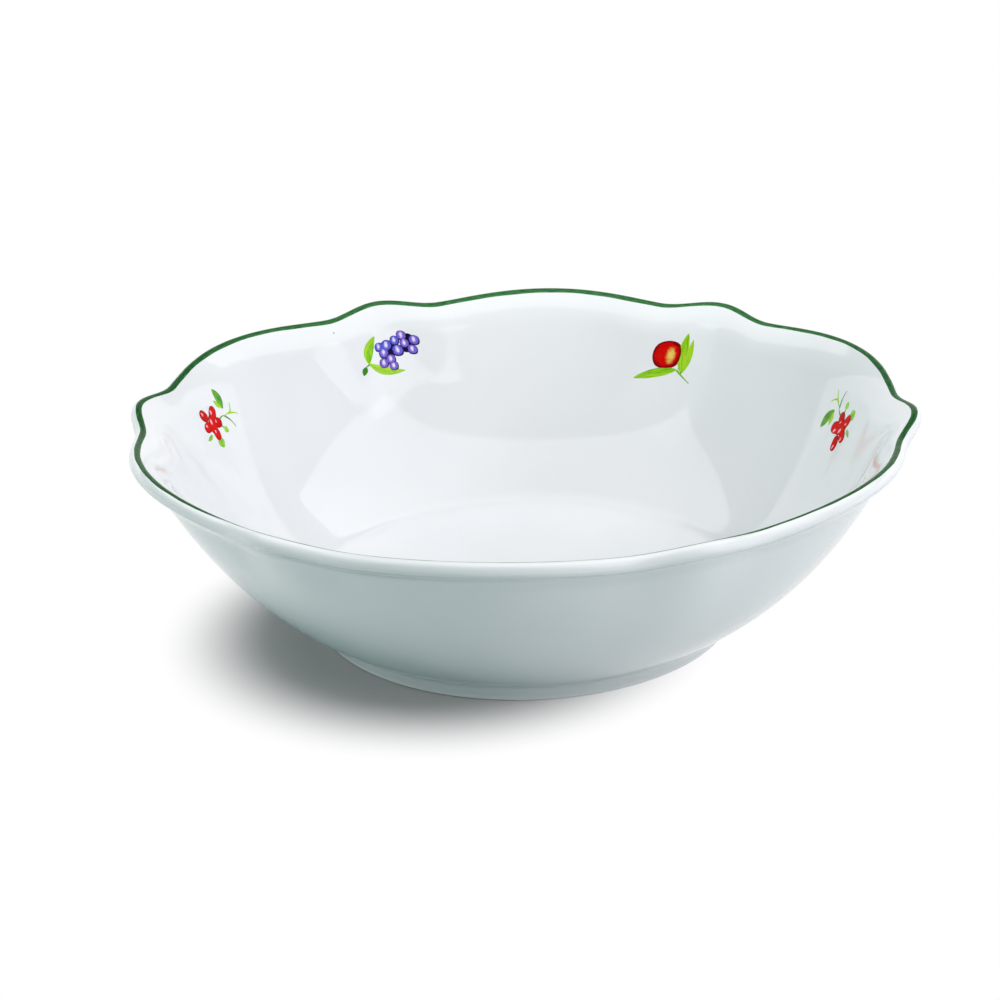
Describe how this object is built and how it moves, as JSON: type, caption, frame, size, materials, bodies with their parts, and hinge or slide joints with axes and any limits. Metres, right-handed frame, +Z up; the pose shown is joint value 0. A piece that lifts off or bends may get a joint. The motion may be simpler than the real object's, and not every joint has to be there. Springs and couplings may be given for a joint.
{
  "type": "salad bowl",
  "caption": "Round porcelain salad bowl with a flared scalloped rim, a green line on the lip, small fruit sprigs on the inner wall and a low foot ring; holds and serves salad.",
  "frame": {"origin": "centre of the foot ring's bearing face, on the table", "axes": "+Z up along the bowl's axis; +X through the middle of one of the short lobes of the rim; +Y to the far side, through the middle of a long lobe"},
  "size_m": [0.25, 0.25, 0.0703],
  "materials": {
    "glazed_porcelain": "clear gloss glaze over white porcelain, bare on the bearing face of the foot ring",
    "dark_green_enamel": "fired enamel line, glossy",
    "leaf_green_enamel": "fired enamel transfer, glossy",
    "red_enamel": "fired enamel transfer, glossy",
    "orange_red_enamel": "fired enamel transfer, glossy",
    "violet_blue_enamel": "fired enamel transfer, glossy"
  },
  "bodies": {
    "root": {"porcelain_bowl": "glazed_porcelain", "green_rim_line": "dark_green_enamel", "sprig_1_red_berries": "red_enamel", "sprig_1_leaves": "leaf_green_enamel", "sprig_2_round_fruit": "orange_red_enamel", "sprig_2_leaves": "leaf_green_enamel", "sprig_3_blue_berries": "violet_blue_enamel", "sprig_3_leaves": "leaf_green_enamel", "sprig_4_red_berries": "red_enamel", "sprig_4_leaves": "leaf_green_enamel", "sprig_5_round_fruit": "orange_red_enamel", "sprig_5_leaves": "leaf_green_enamel", "sprig_6_blue_berries": "violet_blue_enamel", "sprig_6_leaves": "leaf_green_enamel", "sprig_7_red_berries": "red_enamel", "sprig_7_leaves": "leaf_green_enamel", "sprig_8_round_fruit": "orange_red_enamel", "sprig_8_leaves": "leaf_green_enamel"}
  },
  "joints": []
}
